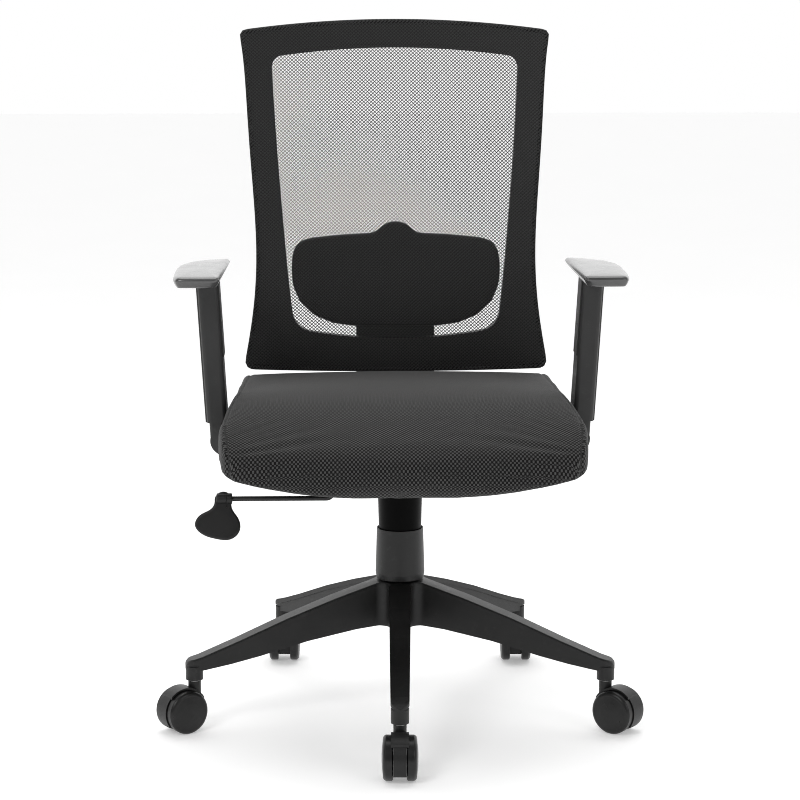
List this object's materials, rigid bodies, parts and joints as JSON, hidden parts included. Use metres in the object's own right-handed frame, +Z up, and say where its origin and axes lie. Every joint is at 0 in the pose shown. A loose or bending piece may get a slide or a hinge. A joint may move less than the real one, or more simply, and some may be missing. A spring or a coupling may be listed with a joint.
{
  "type": "swivel office chair",
  "caption": "Task chair: mesh back, padded seat, height-adjustable arms, gas lift and tilt over a star base on twin-wheel casters.",
  "frame": {"origin": "on the floor, on the axis of the gas lift column", "axes": "+Z up along the column; the sitter faces -Y; -X is the sitter's right, where the lever is"},
  "size_m": [0.6751, 0.6564, 0.968],
  "materials": {
    "nylon": "fine moulded texture",
    "wheel_nylon": "satin",
    "cover_grey": "satin",
    "cover_black": "satin",
    "black_steel": "powder coated",
    "lift_steel": "gloss black",
    "bright_steel": "ground and plated",
    "zinc_steel": "zinc plated",
    "spring_steel": "oiled",
    "bush_acetal": "natural acetal",
    "plywood": "sanded birch ply",
    "lining": "non-woven",
    "seat_fabric": "spacer mesh over foam",
    "back_fabric": "open mesh",
    "arm_nylon": "fine moulded texture",
    "arm_soft": "satin skin",
    "lumbar_foam": "moulded"
  },
  "bodies": {
    "base": {"base_star": "nylon", "caster_stems": "zinc_steel", "gas_lift_outer_tube": "lift_steel", "gas_lift_guide_bush": "bush_acetal", "gas_lift_bearing": "spring_steel", "column_cover_lower": "cover_grey"},
    "caster_1": {"caster_1_housing": "nylon", "caster_1_axle": "zinc_steel"},
    "caster_1_left": {"caster_1_wheel_left": "wheel_nylon"},
    "caster_1_right": {"caster_1_wheel_right": "wheel_nylon"},
    "caster_2": {"caster_2_housing": "nylon", "caster_2_axle": "zinc_steel"},
    "caster_2_left": {"caster_2_wheel_left": "wheel_nylon"},
    "caster_2_right": {"caster_2_wheel_right": "wheel_nylon"},
    "caster_3": {"caster_3_housing": "nylon", "caster_3_axle": "zinc_steel"},
    "caster_3_left": {"caster_3_wheel_left": "wheel_nylon"},
    "caster_3_right": {"caster_3_wheel_right": "wheel_nylon"},
    "caster_4": {"caster_4_housing": "nylon", "caster_4_axle": "zinc_steel"},
    "caster_4_left": {"caster_4_wheel_left": "wheel_nylon"},
    "caster_4_right": {"caster_4_wheel_right": "wheel_nylon"},
    "caster_5": {"caster_5_housing": "nylon", "caster_5_axle": "zinc_steel"},
    "caster_5_left": {"caster_5_wheel_left": "wheel_nylon"},
    "caster_5_right": {"caster_5_wheel_right": "wheel_nylon"},
    "cover_middle": {"column_cover_middle": "cover_black"},
    "column_rod": {"gas_lift_piston_rod": "bright_steel", "gas_lift_clip": "zinc_steel"},
    "column": {"gas_lift_cylinder": "bright_steel", "column_cover_upper": "cover_black", "mechanism_housing": "black_steel", "tilt_pivot_shaft": "zinc_steel", "tilt_spring": "spring_steel"},
    "release_pin": {"gas_lift_release_pin": "bright_steel"},
    "tension_knob": {"tension_knob": "nylon"},
    "lever_slider": {"lever_slider": "bush_acetal"},
    "height_lever": {"height_lever_rod": "black_steel", "height_lever_paddle": "nylon"},
    "seat": {"tilt_plate": "black_steel", "seat_board": "plywood", "seat_cushion": "seat_fabric", "seat_under_cover": "lining", "seat_bolts": "zinc_steel", "arm_bracket_left": "arm_nylon", "arm_bracket_right": "arm_nylon", "arm_bolts": "zinc_steel", "back_upright": "nylon", "back_frame": "nylon", "back_mesh": "back_fabric", "back_bolts": "zinc_steel"},
    "arm_left": {"arm_sleeve_left": "arm_nylon", "arm_pad_left": "arm_soft"},
    "arm_left_button": {"arm_button_left": "arm_nylon"},
    "arm_right": {"arm_sleeve_right": "arm_nylon", "arm_pad_right": "arm_soft"},
    "arm_right_button": {"arm_button_right": "arm_nylon"},
    "lumbar": {"lumbar_pad": "lumbar_foam", "lumbar_slider": "nylon"}
  },
  "joints": [
    {"name": "caster_1_swivel", "type": "hinge", "parent": "base", "child": "caster_1", "pos_m": [-0.0089, -0.29987, 0.05], "axis": [0, 0, 1], "continuous": true},
    {"name": "caster_1_left_roll", "type": "hinge", "parent": "caster_1", "child": "caster_1_left", "pos_m": [-0.00952, -0.32086, 0.03], "axis": [0.9996, -0.0297, 0], "continuous": true},
    {"name": "caster_1_right_roll", "type": "hinge", "parent": "caster_1", "child": "caster_1_right", "pos_m": [-0.00952, -0.32086, 0.03], "axis": [0.9996, -0.0297, 0], "continuous": true},
    {"name": "caster_2_swivel", "type": "hinge", "parent": "base", "child": "caster_2", "pos_m": [0.28244, -0.10113, 0.05], "axis": [0, 0, 1], "continuous": true},
    {"name": "caster_2_left_roll", "type": "hinge", "parent": "caster_2", "child": "caster_2_left", "pos_m": [0.29906, -0.11397, 0.03], "axis": [0.6115, 0.7912, 0], "continuous": true},
    {"name": "caster_2_right_roll", "type": "hinge", "parent": "caster_2", "child": "caster_2_right", "pos_m": [0.29906, -0.11397, 0.03], "axis": [0.6115, 0.7912, 0], "continuous": true},
    {"name": "caster_3_swivel", "type": "hinge", "parent": "base", "child": "caster_3", "pos_m": [0.18346, 0.23737, 0.05], "axis": [0, 0, 1], "continuous": true},
    {"name": "caster_3_left_roll", "type": "hinge", "parent": "caster_3", "child": "caster_3_left", "pos_m": [0.18408, 0.25836, 0.03], "axis": [-0.9996, 0.0297, 0], "continuous": true},
    {"name": "caster_3_right_roll", "type": "hinge", "parent": "caster_3", "child": "caster_3_right", "pos_m": [0.18408, 0.25836, 0.03], "axis": [-0.9996, 0.0297, 0], "continuous": true},
    {"name": "caster_4_swivel", "type": "hinge", "parent": "base", "child": "caster_4", "pos_m": [-0.16906, 0.24783, 0.05], "axis": [0, 0, 1], "continuous": true},
    {"name": "caster_4_left_roll", "type": "hinge", "parent": "caster_4", "child": "caster_4_left", "pos_m": [-0.16844, 0.26882, 0.03], "axis": [-0.9996, 0.0297, 0], "continuous": true},
    {"name": "caster_4_right_roll", "type": "hinge", "parent": "caster_4", "child": "caster_4_right", "pos_m": [-0.16844, 0.26882, 0.03], "axis": [-0.9996, 0.0297, 0], "continuous": true},
    {"name": "caster_5_swivel", "type": "hinge", "parent": "base", "child": "caster_5", "pos_m": [-0.28794, -0.0842, 0.05], "axis": [0, 0, 1], "continuous": true},
    {"name": "caster_5_left_roll", "type": "hinge", "parent": "caster_5", "child": "caster_5_left", "pos_m": [-0.30529, -0.09603, 0.03], "axis": [0.5635, -0.8261, 0], "continuous": true},
    {"name": "caster_5_right_roll", "type": "hinge", "parent": "caster_5", "child": "caster_5_right", "pos_m": [-0.30529, -0.09603, 0.03], "axis": [0.5635, -0.8261, 0], "continuous": true},
    {"name": "seat_swivel", "type": "hinge", "parent": "base", "child": "column_rod", "pos_m": [0, 0, 0.2], "axis": [0, 0, 1], "continuous": true},
    {"name": "seat_height", "type": "slide", "parent": "column_rod", "child": "column", "axis": [0, 0, 1], "range_m": [-0.015, 0.075]},
    {"name": "cover_middle_lift", "type": "slide", "parent": "base", "child": "cover_middle", "axis": [0, 0, 1], "range_m": [-0.00825, 0.04125]},
    {"name": "height_lever_lift", "type": "hinge", "parent": "lever_slider", "child": "height_lever", "pos_m": [-0.025, 0, 0.352], "axis": [0, 1, 0], "range_deg": [0, 8], "stiffness_Nm_per_rad": 2, "springref_deg": -8.59},
    {"name": "tilt_lock_slide", "type": "slide", "parent": "column", "child": "lever_slider", "axis": [-1, 0, 0], "range_m": [0, 0.012]},
    {"name": "release_pin_press", "type": "slide", "parent": "column", "child": "release_pin", "axis": [0, 0, -1], "range_m": [0, 0.0036], "stiffness_N_per_m": 400, "springref_m": -0.001},
    {"name": "tension_knob_turn", "type": "hinge", "parent": "column", "child": "tension_knob", "pos_m": [0, -0.056, 0.335], "axis": [0, 0, 1], "range_deg": [0, 1080]},
    {"name": "recline_tilt", "type": "hinge", "parent": "column", "child": "seat", "pos_m": [0, -0.08, 0.362], "axis": [-1, 0, 0], "range_deg": [0, 15], "stiffness_Nm_per_rad": 120, "springref_deg": -20.05, "deforming": ["tilt_spring"]},
    {"name": "lumbar_height", "type": "slide", "parent": "seat", "child": "lumbar", "axis": [0, 0.0797, 0.9968], "range_m": [0, 0.03]},
    {"name": "arm_left_height", "type": "slide", "parent": "seat", "child": "arm_left", "axis": [0.0593, 0, 0.9982], "range_m": [0, 0.07]},
    {"name": "arm_right_height", "type": "slide", "parent": "seat", "child": "arm_right", "axis": [-0.0593, 0, 0.9982], "range_m": [0, 0.07]},
    {"name": "arm_left_button_press", "type": "slide", "parent": "arm_left", "child": "arm_left_button", "axis": [-0.9982, 0, 0.0593], "range_m": [0, 0.003], "stiffness_N_per_m": 600, "springref_m": -0.001},
    {"name": "arm_right_button_press", "type": "slide", "parent": "arm_right", "child": "arm_right_button", "axis": [0.9982, 0, 0.0593], "range_m": [0, 0.003], "stiffness_N_per_m": 600, "springref_m": -0.001}
  ],
  "couplings": [
    {"joint": "cover_middle_lift", "follows": "seat_height", "ratio": 0.55},
    {"joint": "release_pin_press", "follows": "height_lever_lift", "m_per_rad": 0.025}
  ]
}
